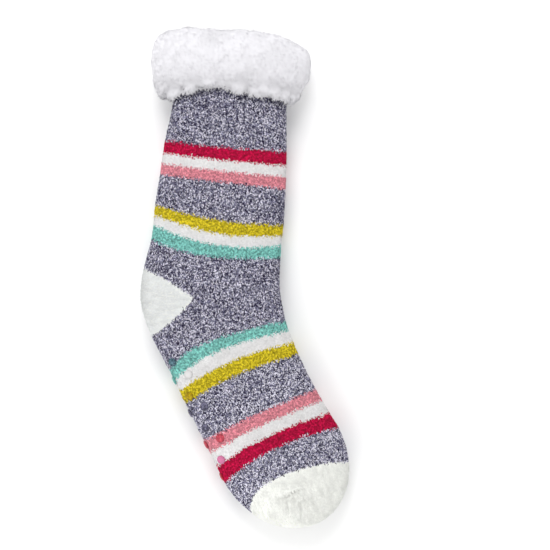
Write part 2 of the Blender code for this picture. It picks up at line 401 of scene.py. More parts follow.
# Where the four corners of a fibre lie around its place on the flat chart, and the chart's margins
FIBRE_SPOT = np.array([[-0.0040, 0.0], [0.0, -0.0024], [0.0, 0.0024], [0.0040, 0.0]])
CHART_MARGIN, SHERPA_CHART_START = 0.02, 0.1

# The staggered rows of grip dots: how far around the sole from its fold, where along it a row starts, and
# where it has ended. The middle row lies a little above the fold.
GripRow = namedtuple("GripRow", "around start end")
GRIP_ROWS = (
    GripRow(-0.0158, 0.0545, 0.140),
    GripRow(-0.0074, 0.0421, 0.145),
    GripRow(0.0030, 0.0551, 0.148),
    GripRow(0.0134, 0.0421, 0.145),
    GripRow(0.0218, 0.0545, 0.140),
)

# Dots sink this far into the sock's outer face
GRIP_SINK = 0.0003

# Small steps along the sock and around it, to tell how the surface lies
GRIP_STEP, TURN_STEP = 0.0005, 0.001

# Gel takes up dye from this many times its own radius, and its colour is painted this much lighter for
# the light it lets through. Shade is painted at a drop's rim and light at its crown.
GEL_REACH, GEL_GLOW = 0.90, 1.25
GEL_RIM_SHADE, GEL_CROWN_LIGHT = 0.72, 1.02

# Where the lamps stand and how wide they are
KEY_PLACE, KEY_SIZE = (-0.14, 1.09, 1.10), 0.9
FILL_PLACE, FILL_SIZE = (-0.7, -1.1, 1.1), 1.2

# How far the floor reaches, where the camera stands and how high the sock's outline lies
FLOOR_HALF = 4.0
CAMERA_CENTRE = (0.0250, 0.0024)
CAMERA_LENS, CAMERA_SENSOR = 135.0, 36.0
SILHOUETTE_HEIGHT = 0.018

# Shorter vectors than this have no direction
TINY = 1e-12


def unit(vectors):
    return vectors / np.maximum(np.linalg.norm(vectors, axis=-1, keepdims=True), TINY)


def bell(values, centre, spread):
    """1 at the centre, falling off to both sides."""
    return np.exp(-(((values - centre) / spread) ** 2))


def flattened(values):
    """Cosines or sines of turns, as shares of the half sizes of a flattened oval."""
    return np.sign(values) * np.abs(values) ** (2 / SECTION_POWER)


def across_face(turn):
    """The place across a face, from -1 at the sole and the back of the leg to 1 at the instep."""
    return flattened(np.cos(turn))


def between(first, last, start, end, t):
    """Values on the way from the first to the last that leave and arrive at the slopes start and end."""
    rise = last - first
    cubic = (3 * rise - 2 * start - end) * t**2 + (start + end - 2 * rise) * t**3
    return first + start * t + cubic


def even_turns(count):
    """Turns around the usual oval that lie evenly along it, from the instep over the upper face."""
    fine = np.linspace(0, 2 * math.pi, ARC_SAMPLES + 1)
    x = USUAL_HALF_WIDTH * flattened(np.cos(fine))
    z = USUAL_HALF_THICK * flattened(np.sin(fine))
    walked = np.concatenate([[0.0], np.cumsum(np.hypot(np.diff(x), np.diff(z)))])
    return np.interp(np.arange(count) / count * walked[-1], walked, fine)


class SockForm:
    """The sock's surface, from its sizes."""

    def __init__(self, sizes):
        self.toe_depth = sizes.toe_depth
        self.knit_wall = sizes.knit_wall
        self.lining_depth = sizes.knit_wall + sizes.seat_gap
        self.pile_depth = self.lining_depth + sizes.pile_wall
        self.seat_gap = sizes.seat_gap
        rows = [self.course_values(course, sizes) for course in COURSES]
        self.knots = np.array([row[0] for row in rows])
        self.values = np.array([row[1:] for row in rows])
        self.slopes = np.gradient(self.values, self.knots, axis=0)
        self.rim, self.ball = self.knots[0], self.knots[-1]
        self.tip = self.ball + self.toe_depth

    @staticmethod
    def limb_axes(along):
        """The direction that along grows in, and the one across it towards the instep, in plan."""
        lean = -LEG_LEAN if along < 0 else FOOT_LEAN
        down = np.array([math.sin(lean), -math.cos(lean)])
        return down, np.array([-down[1], down[0]])

    def course_values(self, course, sizes):
        along = course.along * (sizes.leg_height if course.along < 0 else sizes.foot_length)
        down, across = self.limb_axes(along)
        middle = ANKLE + down * along + across * course.sway
        width = course.width * getattr(sizes, course.size)
        thick, lift = course.thick * sizes.thick, course.lift * sizes.cuff_lift
        return [along, *middle, math.radians(course.lean), width, thick, lift, course.bow]

    def section(self, along):
        """Middle in plan, lean, width, thickness, lift and bow at each place, in the last axis."""
        at = np.clip(along, None, self.ball)
        i = np.clip(np.searchsorted(self.knots, at) - 1, 0, len(self.knots) - 2)
        span = (self.knots[i + 1] - self.knots[i])[..., None]
        t = (at - self.knots[i])[..., None] / span
        start, end = self.slopes[i] * span, self.slopes[i + 1] * span
        return between(self.values[i], self.values[i + 1], start, end, t)

    def oval(self, values, turn, half_width, half_thick, floor, rise=0.0):
        """Points on flattened ovals of these half sizes, no lower than floor and moved up the leg by rise."""
        x, y, lean, _, thick, lift = [values[..., k] for k in range(6)]
        u, w = across_face(turn), flattened(np.sin(turn))
        px = x + u * half_width * np.cos(lean) - rise * np.sin(lean)
        py = y + u * half_width * np.sin(lean) + rise * np.cos(lean)
        pz = np.maximum(lift, 0.0) + thick / 2 - FLOOR_PRESS + w * half_thick
        return np.stack([px, py, np.maximum(pz, floor)], axis=-1)

    def skin(self, along, turn, depth):
        """Points this deep under the sock's outer face, at places along it and turns around it."""
        values = self.section(along).copy()
        share = np.clip((along - self.ball) / self.toe_depth, 0.0, 1.0)
        down, across = self.limb_axes(self.ball)
        ahead, aside = share * (self.toe_depth - depth), share * TOE_SWAY
        values[..., :2] += ahead[..., None] * down + aside[..., None] * across
        values[..., 2] += (FOOT_LEAN - values[..., 2]) * share
        half_width = (values[..., 3] / 2 - depth) * np.sqrt(1 - share**2)
        half_thick = (values[..., 4] / 2 - depth) * (1 - share**TOE_BLUNTNESS) ** (1 / TOE_BLUNTNESS)
        floor = np.maximum(values[..., 4] / 2 - half_thick, 0.0)
        return self.oval(values, turn, half_width, half_thick, floor)

    def fold(self, row, turn):
        """Points on the turned-down top. A row counts through the folds and may lie between two of them."""
        columns = np.array([fold[1:] for fold in FOLDS])
        slopes = np.gradient(columns, axis=0)
        i = np.clip(np.floor(row).astype(int), 0, LAST_FOLD - 1)
        mixed = between(columns[i], columns[i + 1], slopes[i], slopes[i + 1], (row - i)[..., None])
        up, side, face, arch, skew, tuck, nip = [mixed[..., k] for k in range(7)]
        values = self.section(-up)
        half_width, half_thick = values[..., 3] / 2 + side, values[..., 4] / 2 + face
        half_width = half_width - np.where(np.cos(turn) > 0, tuck, nip) * np.abs(np.cos(turn))
        return self.oval(values, turn, half_width, half_thick, 0.0, self.hem_rise(arch, skew, turn))

    @staticmethod
    def hem_rise(arch, skew, turn):
        """How much higher the turned-down top runs here than at the sock's edges."""
        u = across_face(turn)
        nick = NICK * np.clip(2 * skew, 0.0, 1.0) * bell(u, NICK_AT, NICK_WIDTH)
        return arch * (1 - u**2) * (1 - skew * u + nick)

    def stations(self, tube_rows, toe_rows):
        """Places along the sock, from the rim to the toe's tip, closer together where the toe rounds off."""
        tube = np.linspace(self.rim, self.ball, tube_rows, endpoint=False)
        turns = np.linspace(0, TOE_LAST_TURN * math.pi / 2, toe_rows)
        return np.concatenate([tube, self.ball + self.toe_depth * np.sin(turns)])

    def share_along(self, along):
        return (along - self.rim) / (self.tip - self.rim)

    def course_place(self, along, turn):
        """The place along the sock of the knitted row that passes here, which sags or rises in mid-face."""
        u = across_face(turn)
        near_fold = np.clip((-u - SOLE_DRAW_FROM) / (1 - SOLE_DRAW_FROM), 0.0, 1.0)
        pulled = SOLE_DRAW * near_fold**2 * bell(along, SOLE_DRAW_AT, SOLE_DRAW_SPREAD)
        return along - self.section(along)[..., 6] * (1 - u**2) - pulled


def grid_normals(points):
    """Outward unit normals of a grid of points that closes around its second axis."""
    d_along = np.gradient(points, axis=0)
    d_around = np.roll(points, -1, axis=1) - np.roll(points, 1, axis=1)
    return unit(np.cross(d_around, d_along))


def ring_faces(rows, columns):
    """Four-sided faces over rings of points that follow each other."""
    row, column = np.meshgrid(np.arange(rows - 1), np.arange(columns), indexing="ij")
    here = row * columns + column
    beside = row * columns + (column + 1) % columns
    return np.stack([here, here + columns, beside + columns, beside], axis=-1).reshape(-1, 4)


def noise_at(points, size, seed):
    """Smooth noise between -1 and 1 with features of this size."""
    shift = Vector(seed * NOISE_SHIFT)
    flat = points.reshape(-1, 3) / size
    return np.array([noise.noise(Vector(p) + shift) for p in flat.tolist()]).reshape(points.shape[:-1])


def rippled(points, ripple):
    return ripple.height * noise_at(points, ripple.size, ripple.seed)


def new_piece(name, verts, faces, material):
    """A mesh object that rides on the sock, with this material."""
    mesh = bpy.data.meshes.new(name)
    mesh.from_pydata(verts.tolist(), [], [list(face) for face in faces])
    mesh.shade_smooth()
    mesh.materials.append(material)
    piece = bpy.data.objects.new(name, mesh)
    bpy.context.scene.collection.objects.link(piece)
    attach(piece, BODY)
    return piece


def face_outwards(piece):
    """Turn every face of a closed mesh to the outside."""
    form = bmesh.new()
    form.from_mesh(piece.data)
    bmesh.ops.recalc_face_normals(form, faces=form.faces)
    form.to_mesh(piece.data)
    form.free()


def closed_wall(name, rings, material):
    """A piece over rings of points that follow each other, closed at the first and at the last."""
    total, columns = rings.shape[:2]
    faces = ring_faces(total, columns).tolist()
    faces.append(list(range(columns)))
    faces.append(list(range((total - 1) * columns, total * columns))[::-1])
    piece = new_piece(name, rings.reshape(-1, 3), faces, material)
    face_outwards(piece)
    return piece


def paint(piece, name, colours):
    """A colour with a fourth value for each vertex, kept on the mesh for the material to read."""
    layer = piece.data.color_attributes.new(name, "FLOAT_COLOR", "POINT")
    layer.data.foreach_set("color", colours.astype(np.float32).ravel())


def paint_shade(piece, shade):
    """What each vertex's colour is multiplied by, as one number or as three."""
    tint = shade if shade.ndim == 2 else np.stack([shade] * 3, axis=-1)
    paint(piece, "shade", np.column_stack([tint, np.ones(len(tint))]))


def lend_normals(piece, verts, faces, normals, own_share):
    """Shade small fibres partly by their own faces and partly by the surface under them."""
    a, b, c = (verts[faces[:, k]] for k in range(3))
    own = unit(np.cross(b - a, c - a))
    corners = unit(own_share * own[:, None] + (1 - own_share) * normals[faces])
    piece.data.normals_split_custom_set(corners.reshape(-1, 3).tolist())


def lay_map(piece, places):
    """A texture map from each vertex's place on the flat chart, between 0 and 1."""
    corners = np.empty(len(piece.data.loops), dtype=np.int32)
    piece.data.loops.foreach_get("vertex_index", corners)
    layer = piece.data.uv_layers.new(name="OFBake")
    layer.uv.foreach_set("vector", places[corners].astype(np.float32).ravel())


def knit_relief(points, normals):
    """How far the slack knit stands out or sinks, from its creases, its sag and its stitches."""
    relief = rippled(points, SAG) + rippled(points, STITCHES)
    facing = np.abs(normals[..., 2]) ** 2
    for crease in CREASES:
        heading = math.radians(crease.heading)
        dx, dy = points[..., 0] - crease.x, points[..., 1] - crease.y
        run = dx * math.cos(heading) + dy * math.sin(heading)
        off = dy * math.cos(heading) - dx * math.sin(heading)
        share = np.clip(run / crease.run, 0.0, 1.0)
        off = off - CREASE_BEND * crease.run * share**2
        trough = bell(off, 0.0, crease.width)
        ridge = bell(off, RIDGE_OFF * crease.width, crease.width)
        relief += crease.depth * np.sin(np.pi * share) * facing * (RIDGE_SHARE * ridge - trough)
    return relief


KnitGrid = namedtuple("KnitGrid", "points normals along turn")


def knit_grid(form):
    """The knit under its fuzz, with its creases."""
    along = form.stations(KNIT_ROWS, KNIT_TOE_ROWS)
    along, turn = np.meshgrid(along, even_turns(KNIT_COLUMNS), indexing="ij")
    points = form.skin(along, turn, FUZZ_DEPTH)
    normals = grid_normals(points)
    points = points + normals * knit_relief(points, normals)[..., None]
    points[..., 2] = np.maximum(points[..., 2], FLOOR_CLEAR)
    return KnitGrid(points, grid_normals(points), along, turn)


def yarn_at(form, along, turn, plan):
    """Which yarn each place is knitted in, as an index into YARNS."""
    course = form.course_place(along, turn)
    yarn = np.full(along.shape, HEATHER)
    for band in BANDS:
        yarn[(course >= band.start) & (course < band.end)] = YARN_NAMES.index(band.yarn)
    u = across_face(turn)
    sole = np.maximum(-u - TOE_EDGE_SOLE_FROM, 0.0)
    toe_edge = TOE_EDGE + TOE_EDGE_SLANT * u + TOE_EDGE_CURVE * u**2 + TOE_EDGE_SOLE * sole**2
    yarn[along > toe_edge] = BRUSHED
    into = np.clip((plan[..., 0] - HEEL_BACK[0]) / HEEL_REACH, 0.0, 1.0)
    above = plan[..., 1] - HEEL_BACK[1]
    reach_up = HEEL_ABOVE * (1 - into**HEEL_ABOVE_POWER)
    reach_down = HEEL_BELOW * (1 - into**HEEL_BELOW_POWER)
    yarn[(above < reach_up) & (above > -reach_down)] = BRUSHED
    return yarn


def chart(turn, share, start=CHART_MARGIN):
    """Where a turn and a share of the way along lie on a flat chart, both ways between 0 and 1."""
    around = np.mod(turn, 2 * math.pi) / (2 * math.pi)
    span = np.array([1 - 2 * CHART_MARGIN, 1 - CHART_MARGIN - start])
    return np.array([CHART_MARGIN, start]) + span * np.stack([around, share], axis=-1)


def scatter(grid, count, rng, underneath=1.0):
    """Random places on a grid of rings, fewer on faces that look down, with the grid's values there."""
    columns = grid.turn.shape[1]
    after = np.roll(grid.points, -1, axis=1)
    edge_a, edge_b = grid.points[1:] - grid.points[:-1], after[:-1] - grid.points[:-1]
    area = np.linalg.norm(np.cross(edge_a, edge_b), axis=-1)
    area = (area * np.where(grid.normals[:-1, :, 2] < DOWNWARD, underneath, 1.0)).ravel()
    walked = np.cumsum(area) / area.sum()
    drawn_at = (np.arange(count) + rng.random(count)) / count
    cell = np.minimum(np.searchsorted(walked, drawn_at), area.size - 1)
    row, column = np.divmod(cell, columns)
    beside = (column + 1) % columns
    a, b = rng.random(count), rng.random(count)

    def mixed(values):
        a_, b_ = (a[:, None], b[:, None]) if values.ndim == 3 else (a, b)
        near = values[row, column] * (1 - b_) + values[row, beside] * b_
        far = values[row + 1, column] * (1 - b_) + values[row + 1, beside] * b_
        return near * (1 - a_) + far * a_

    found = {name: mixed(values) for name, values in grid._asdict().items()}
    found["normals"] = unit(found["normals"])
    wrapped = np.where(np.arange(columns) == 0, 2 * math.pi, 0.0)
    found["turn"] = grid.turn[row, column] * (1 - b) + (grid.turn[row, beside] + wrapped[beside]) * b
    return tuple(found.values())


def tuft_solids(root, normal, heading, run, width, rise, tip_rise):
    """One thin closed tuft for each root: four corners, arching over the surface along its heading."""
    side = np.cross(normal, heading)
    middle = root + heading * (run * 0.5)[:, None] + normal * rise[:, None]
    left = middle + side * (width * 0.5)[:, None]
    right = middle - side * (width * 0.5)[:, None]
    tip = root + heading * run[:, None] + normal * tip_rise[:, None]
    verts = np.stack([root, left, right, tip], axis=1)
    verts[..., 2] = np.maximum(verts[..., 2], FLOOR_CLEAR / 2)
    first = 4 * np.arange(len(root))[:, None, None]
    corners = np.array([[0, 2, 1], [1, 2, 3], [0, 1, 3], [0, 3, 2]])
    return verts.reshape(-1, 3), (first + corners[None]).reshape(-1, 3)


def random_headings(normal, rng, spread):
    """Unit directions along the surface, either way along the sock and up to spread off that."""
    first = unit(np.cross(normal, np.array([[0.0, 1.0, 0.0]])))
    second = np.cross(first, normal)
    angle = math.pi / 2 * rng.choice([-1.0, 1.0], len(normal)) + rng.uniform(-spread, spread, len(normal))
    return first * np.cos(angle)[:, None] + second * np.sin(angle)[:, None]


def combed(normal, comb, rng, spread):
    """Unit directions along the surface, the way of the comb and up to spread off that."""
    first = unit(comb - normal * (comb * normal).sum(axis=1, keepdims=True))
    second = np.cross(normal, first)
    angle = rng.uniform(-spread, spread, len(normal))
    return first * np.cos(angle)[:, None] + second * np.sin(angle)[:, None]


def drawn(points, comb):
    """Points drawn together along the comb, so that noise there runs in streaks."""
    way = unit(comb)
    return points - STREAK_DRAWN * way * (points * way).sum(axis=1, keepdims=True)


def ruffled(normal, rng, amount, lift):
    """Normals tipped at random and upwards, the way that loose fibres catch light."""
    return unit(normal + rng.normal(0.0, amount, normal.shape) + lift)


def fibre_piece(name, fibres, normals, own_share, shade, places, material):
    """A piece of small fibres, each with its own normal, shade and place on the flat chart."""
    verts, faces = tuft_solids(*fibres)
    piece = new_piece(name, verts, faces, material)
    lend_normals(piece, verts, faces, np.repeat(normals, 4, axis=0), own_share)
    paint_shade(piece, np.repeat(shade, 4, axis=0))
    lay_map(piece, np.clip(places[:, None] + FIBRE_SPOT, 0.0, 1.0).reshape(-1, 2))


class Shading:
    """A node material under construction."""

    def __init__(self, name):
        self.material = bpy.data.materials.new(name)
        self.material.use_nodes = True
        self.tree = self.material.node_tree
        self.shader = self.tree.nodes["Principled BSDF"]

    def node(self, kind, **settings):
        made = self.tree.nodes.new(kind)
        for key, value in settings.items():
            setattr(made, key, value)
        return made

    def link(self, source, target):
        self.tree.links.new(source, target)

    def set(self, **sockets):
        for key, value in sockets.items():
            self.shader.inputs[key.replace("_", " ")].default_value = value

    def noise(self, size, detail=2.0, roughness=0.5):
        """Noise in the object's own place, with features of this size."""
        place = self.node("ShaderNodeTexCoord")
        texture = self.node("ShaderNodeTexNoise")
        texture.inputs["Scale"].default_value = 1.0 / size
        texture.inputs["Detail"].default_value = detail
        texture.inputs["Roughness"].default_value = roughness
        self.link(place.outputs["Object"], texture.inputs["Vector"])
        return texture.outputs["Fac"]

    def ramp(self, factor, stops):
        """A colour ramp through (place, colour) stops."""
        ramp = self.node("ShaderNodeValToRGB")
        elements = ramp.color_ramp.elements
        while len(elements) < len(stops):
            elements.new(0.5)
        for element, (place, tone) in zip(elements, stops):
            element.position = place
            element.color = (*tone, 1.0)
        self.link(factor, ramp.inputs["Fac"])
        return ramp.outputs["Color"]

    def product(self, first, second, factor=None):
        """Two colours multiplied, by the strength that a socket gives if there is one."""
        mix = self.node("ShaderNodeMix", data_type="RGBA", blend_type="MULTIPLY")
        mix.inputs["Factor"].default_value = 1.0
        if factor is not None:
            self.link(factor, mix.inputs["Factor"])
        self.link(first, mix.inputs["A"])
        self.link(second, mix.inputs["B"])
        return mix.outputs["Result"]

    def shaded(self, colour):
        """Give the shader this colour, multiplied by the shade that the mesh keeps."""
        shade = self.node("ShaderNodeAttribute", attribute_name="shade")
        self.link(self.product(colour, shade.outputs["Color"]), self.shader.inputs["Base Color"])

    def flecked(self, name, stops):
        """Give the shader the colour that the mesh keeps under this name, flecked by its fourth value."""
        kept = self.node("ShaderNodeAttribute", attribute_name=name)
        flecks = self.ramp(self.noise(FLECK_SIZE), stops)
        colour = self.product(kept.outputs["Color"], flecks, kept.outputs["Alpha"])
        self.link(colour, self.shader.inputs["Base Color"])

    def bump(self, height, distance, strength):
        bump = self.node("ShaderNodeBump")
        bump.inputs["Strength"].default_value = strength
        bump.inputs["Distance"].default_value = distance
        self.link(height, bump.inputs["Height"])
        self.link(bump.outputs["Normal"], self.shader.inputs["Normal"])


def toned(tone, factor):
    """A colour made darker or lighter, kept between black and white."""
    return tuple(min(1.0, max(0.0, value * factor)) for value in tone)


def yarn_material(name, tone, mottle):
    """Fuzzy yarn: a soft mottle of one dye, dull, with a little sheen."""
    shading = Shading(name)
    stops = ((0.36, toned(tone, 1 - mottle)), (0.5, tone), (0.64, toned(tone, 1 + 0.9 * mottle)))
    shading.shaded(shading.ramp(shading.noise(DYE_SIZE, detail=3.0), stops))
    shading.set(Roughness=0.85, Specular_IOR_Level=0.12)
    shading.set(Sheen_Weight=0.3, Sheen_Roughness=0.5, Sheen_Tint=(*toned(tone, 1.1), 1.0))
    return shading.material


def knit_material(name):
    """The knit between the tufts: the yarn's colour from the mesh, in the shade of the fuzz."""
    shading = Shading(name)
    stops = ((0.38, (0.22, 0.21, 0.26)), (0.5, (0.75, 0.75, 0.78)), (0.62, (1.5, 1.5, 1.5)))
    shading.flecked("yarn", stops)
    shading.bump(shading.noise(KNIT_GRAIN), GRAIN_DEPTH, 0.6)
    shading.set(Roughness=0.95, Specular_IOR_Level=0.15)
    return shading.material


def sherpa_material(name, tone):
    """Sherpa pile: white with faint clouds, darkened by the shade painted on the mesh in hollows and at the
    hem.
    """
    shading = Shading(name)
    stops = ((0.3, toned(tone, 0.94)), (0.6, tone))
    shading.shaded(shading.ramp(shading.noise(SHERPA_CLOUD, detail=4.0, roughness=0.6), stops))
    shading.bump(shading.noise(SHERPA_GRAIN, detail=3.0, roughness=0.6), GRAIN_DEPTH, 0.25)
    shading.set(Roughness=0.95, Specular_IOR_Level=0.1)
    shading.set(Sheen_Weight=0.25, Sheen_Roughness=0.4, Sheen_Tint=(1.0, 1.0, 1.0, 1.0))
    return shading.material


def gel_material(name):
    """Clear gel that has soaked into the yarn: its colour comes from the mesh, and the yarn's flecks show."""
    shading = Shading(name)
    stops = ((0.36, (0.35, 0.35, 0.38)), (0.5, (0.85, 0.85, 0.85)), (0.64, (1.8, 1.8, 1.8)))
    shading.flecked("soaked", stops)
    shading.set(Roughness=0.35, Specular_IOR_Level=0.12, Coat_Weight=0.06, Coat_Roughness=0.1)
    return shading.material


def tone_of(yarns, name):
    return tuple(getattr(yarns, name)[:])


def mean_tone(yarns, name):
    """The colour of a yarn as a whole. The heather is the mix of its strands."""
    if name == "heather":
        return tuple(np.array([tone_of(yarns, strand) for strand in STRANDS]).mean(axis=0))
    return tone_of(yarns, name)


class SOCK_OT_knit(bpy.types.Operator):
    """Make the knitted sock under its fuzz, as one closed wall"""

    bl_idname = "house_sock.knit"
    bl_label = "Knit"

    def execute(self, context):
        sock = context.scene.house_sock
        form = SockForm(sock.sizes)
        grid = knit_grid(form)
        back = form.stations(KNIT_BACK_ROWS, KNIT_BACK_ROWS // 3)
        back_along, back_turn = np.meshgrid(back[::-1], even_turns(KNIT_COLUMNS), indexing="ij")
        rings = np.concatenate([form.skin(back_along, back_turn, form.knit_wall), grid.points])
        along = np.concatenate([back_along, grid.along]).ravel()
        turn = np.concatenate([back_turn, grid.turn]).ravel()
        piece = closed_wall("knit", rings, knit_material("knit"))
        plan = rings[..., :2].reshape(-1, 2)
        # The knit between the tufts is painted darker, as shade under the fuzz
        tones = [[v * yarn.shade for v in mean_tone(sock.yarns, yarn.name)] + [yarn.fleck] for yarn in YARNS]
        paint(piece, "yarn", np.array(tones)[yarn_at(form, along, turn, plan)])
        lay_map(piece, chart(turn, form.share_along(along)))
        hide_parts("knit_outer")
        return {"FINISHED"}


def tuft_shade(form, root, along, turn, brushed, comb):
    """What a tuft's colour is multiplied by: clumps, a greyer heel, painted hem shadow, sole light, heel-edge
    shade.
    """
    shade = 1 + rippled(root, YARN_CLUMPS)
    shade[brushed] = 1 + rippled(drawn(root[brushed], comb), YARN_STREAKS)
    # Painted shadow on the yarn just under the hem
    below = along + HEM.up + form.hem_rise(HEM.arch, HEM.skew, turn)
    shade *= 1 - HEM_SHADOW * bell(np.maximum(below, 0.0), 0.0, HEM_SHADOW_REACH)
    # Painted light on the yarn along the sole, growing towards the toe
    on_sole = np.clip(-across_face(turn), 0.0, 1.0)
    shade *= 1 + SOLE_LIGHT * on_sole * np.clip(along / form.tip, 0.0, 1.0)
    at_heel = brushed & (along < TOE_EDGE)
    # Painted shade at the heel, darkest at its back edge
    edge_shade = HEEL_EDGE_SHADE * bell(root[:, 0], HEEL_BACK[0], HEEL_EDGE_REACH)
    shade *= np.where(at_heel, 1 - edge_shade, 1.0)
    # The heel is greyer and cooler than the toe
    return shade[:, None] * np.where(at_heel[:, None], HEEL_TINT, 1.0)


class SOCK_OT_pile(bpy.types.Operator):
    """Cover the knit with tufts of its yarns, a piece for each yarn"""

    bl_idname = "house_sock.pile"
    bl_label = "Yarn Pile"

    def execute(self, context):
        sock = context.scene.house_sock
        look = sock.pile
        form = SockForm(sock.sizes)
        grid = knit_grid(form)
        rng = np.random.default_rng(PILE_SEED)
        shown = grid.along[:, 0] > -HEM_INSIDE.up - FUZZ_UNDER_HEM
        kept = KnitGrid(*(values[shown] for values in grid))
        root, normal, along, turn = scatter(kept, look.tufts, rng, UNDERNEATH)
        heading = random_headings(normal, rng, TUFT_SPREAD)
        run = look.tuft_length * rng.uniform(*TUFT_RUN, look.tufts)
        width = look.tuft_width * rng.uniform(*TUFT_WIDTH, look.tufts)
        rise = look.tuft_rise * rng.uniform(*TUFT_RISE, look.tufts)
        tip_rise = rise * rng.uniform(*TUFT_TIP, look.tufts)
        strayed = along + rng.normal(0.0, look.fray, look.tufts)
        strayed_plan = root[:, :2] + rng.normal(0.0, look.fray, (look.tufts, 2))
        yarn = yarn_at(form, strayed, turn, strayed_plan)
        brushed = yarn == BRUSHED
        comb = np.where((along[brushed] > TOE_EDGE)[:, None], TOE_COMB, HEEL_COMB)
        heading[brushed] = combed(normal[brushed], comb, rng, BRUSHED_SPREAD)
        shade = tuft_shade(form, root, along, turn, brushed, comb)
        run[brushed] *= BRUSHED_RUN
        width[brushed] *= BRUSHED_WIDTH
        lighter = HEATHER_LIGHTER * np.clip(along / form.tip, 0.0, 1.0)
        strand = np.digitize(rng.random(look.tufts) + lighter, HEATHER_SHARES)
        groups = {name: yarn == k for k, name in enumerate(YARN_NAMES) if k != HEATHER}
        for k, name in enumerate(STRANDS):
            groups[name] = (yarn == HEATHER) & (strand == k)
        base = root - normal * TUFT_SINK
        places = chart(turn, form.share_along(along))
        for name, picked in groups.items():
            fibres = [values[picked] for values in (base, normal, heading, run, width, rise, tip_rise)]
            normals = ruffled(normal[picked], rng, TUFT_RUFFLE, TUFT_LIFT)
            kind = YARNS[YARN_NAMES.index(name.split("_")[0])]
            material = yarn_material("yarn_" + name, tone_of(sock.yarns, name), kind.mottle)
            shades, spots = shade[picked], places[picked]
            fibre_piece("pile_" + name, fibres, normals, kind.own, shades, spots, material)
        return {"FINISHED"}


SherpaGrid = namedtuple("SherpaGrid", "points normals row turn shade")


def lump_height(points, centres, size):
    """How high round lumps stand that melt into each other, from 0 between them to 1 on top."""
    tree = KDTree(len(centres))
    for k, centre in enumerate(centres.tolist()):
        tree.insert(centre, k)
    tree.balance()
    flat = points.reshape(-1, 3).tolist()
    gaps = np.array([[hit[2] for hit in tree.find_n(point, LUMP_NEIGHBOURS)] for point in flat])
    domes = 1 - (gaps / (LUMP_SPREAD * size)) ** 2
    melted = np.log(np.exp(LUMP_MELT * domes).sum(axis=1)) / LUMP_MELT
    return np.clip(melted, 0.0, 1.0).reshape(points.shape[:-1])


def sherpa_grid(form, look):
    """The sherpa that shows: the cuff from its hem to its lip, and on down inside the sock."""
    rng = np.random.default_rng(LUMP_SEED)
    turns = even_turns(SHERPA_COLUMNS)
    row, turn = np.meshgrid(np.linspace(0, LAST_FOLD, SHERPA_CUFF_ROWS), turns, indexing="ij")
    cuff = form.fold(row, turn)
    inside_along = form.stations(SHERPA_INSIDE_ROWS, SHERPA_INSIDE_ROWS // 4)
    along, inside_turn = np.meshgrid(inside_along, turns, indexing="ij")
    inside = form.skin(along, inside_turn, form.pile_depth)
    points = np.concatenate([cuff, inside])
    normals = -grid_normals(points)
    row = np.concatenate([row, LAST_FOLD + form.share_along(along)])
    turn = np.concatenate([turn, inside_turn])
    smooth = SherpaGrid(points, normals, row, turn, np.ones_like(row))
    spots = scatter(smooth, int(LUMP_AREA / look.lump_size**2), rng)[0]
    lumps = lump_height(points, spots, look.lump_size)
    hem = bell(row, HEM_ROW, HEM_SPREAD)
    valley = VALLEY_DEPTH * bell(row, VALLEY_ROW, VALLEY_SPREAD)
    streak_height = STREAKS.height + STREAKS_AT_HEM * hem
    streaks = streak_height * noise_at(points * STREAK_STRETCH, STREAKS.size, STREAKS.seed)
    clumps = hem * rippled(points, HEM_CLUMPS)
    clefts = look.lump_height * (LUMP_SHARE + (1 - LUMP_SHARE) * hem) * (lumps - LUMP_LEVEL)
    relief = clefts + rippled(points, BILLOWS) + streaks + clumps + rippled(points, WISPS) - valley
    seated = np.clip(row / FULL_RELIEF_ROW, 0.0, 1.0)
    points = points + normals * (relief * seated)[..., None]
    points[..., 2] = np.maximum(points[..., 2], FLOOR_CLEAR)
    # Painted shade: the pile is darker in its hollows and towards the hem
    hollow = np.clip(-relief / HOLLOW_DEPTH, 0.0, 1.0)
    low = np.clip((HEM_SHADE_FROM - row) / (HEM_SHADE_FROM - HEM_ROW), 0.0, 1.0)
    shade = (1 - HOLLOW_SHADE * hollow) * (1 - HEM_SHADE * low)
    return SherpaGrid(points, -grid_normals(points), row, turn, shade)


def sherpa_chart(row, turn):
    return chart(turn, row / len(FOLDS), SHERPA_CHART_START)


class SOCK_OT_sherpa(bpy.types.Operator):
    """Make the sherpa lining and its turned-down cuff, as one closed wall"""

    bl_idname = "house_sock.sherpa"
    bl_label = "Sherpa"

    def execute(self, context):
        sock = context.scene.house_sock
        form = SockForm(sock.sizes)
        grid = sherpa_grid(form, sock.sherpa)
        turns = even_turns(SHERPA_COLUMNS)
        back = form.stations(SHERPA_BACK_ROWS, SHERPA_BACK_ROWS // 2)[::-1]
        behind = form.skin(*np.meshgrid(back, turns, indexing="ij"), form.lining_depth)
        under_hem = -HEM_INSIDE.up - SHERPA_UNDER_HEM
        over = np.linspace(form.rim - form.seat_gap, under_hem, SHERPA_UNDER_ROWS)
        outside = form.skin(*np.meshgrid(over, turns, indexing="ij"), -form.seat_gap)
        rings = np.concatenate([behind, outside, grid.points])
        total, columns = rings.shape[:2]
        material = sherpa_material("sherpa", tone_of(sock.yarns, "sherpa"))
        piece = closed_wall("sherpa", rings, material)
        hidden = len(behind) + len(outside)
        hidden_row = np.repeat(np.linspace(-1.0, 0.0, hidden), columns)
        row = np.concatenate([hidden_row, grid.row.ravel()])
        paint_shade(piece, np.concatenate([np.ones(hidden * columns), grid.shade.ravel()]))
        lay_map(piece, sherpa_chart(row, np.tile(turns, total)))
        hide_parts("sherpa_leg", "sherpa_foot")
        return {"FINISHED"}


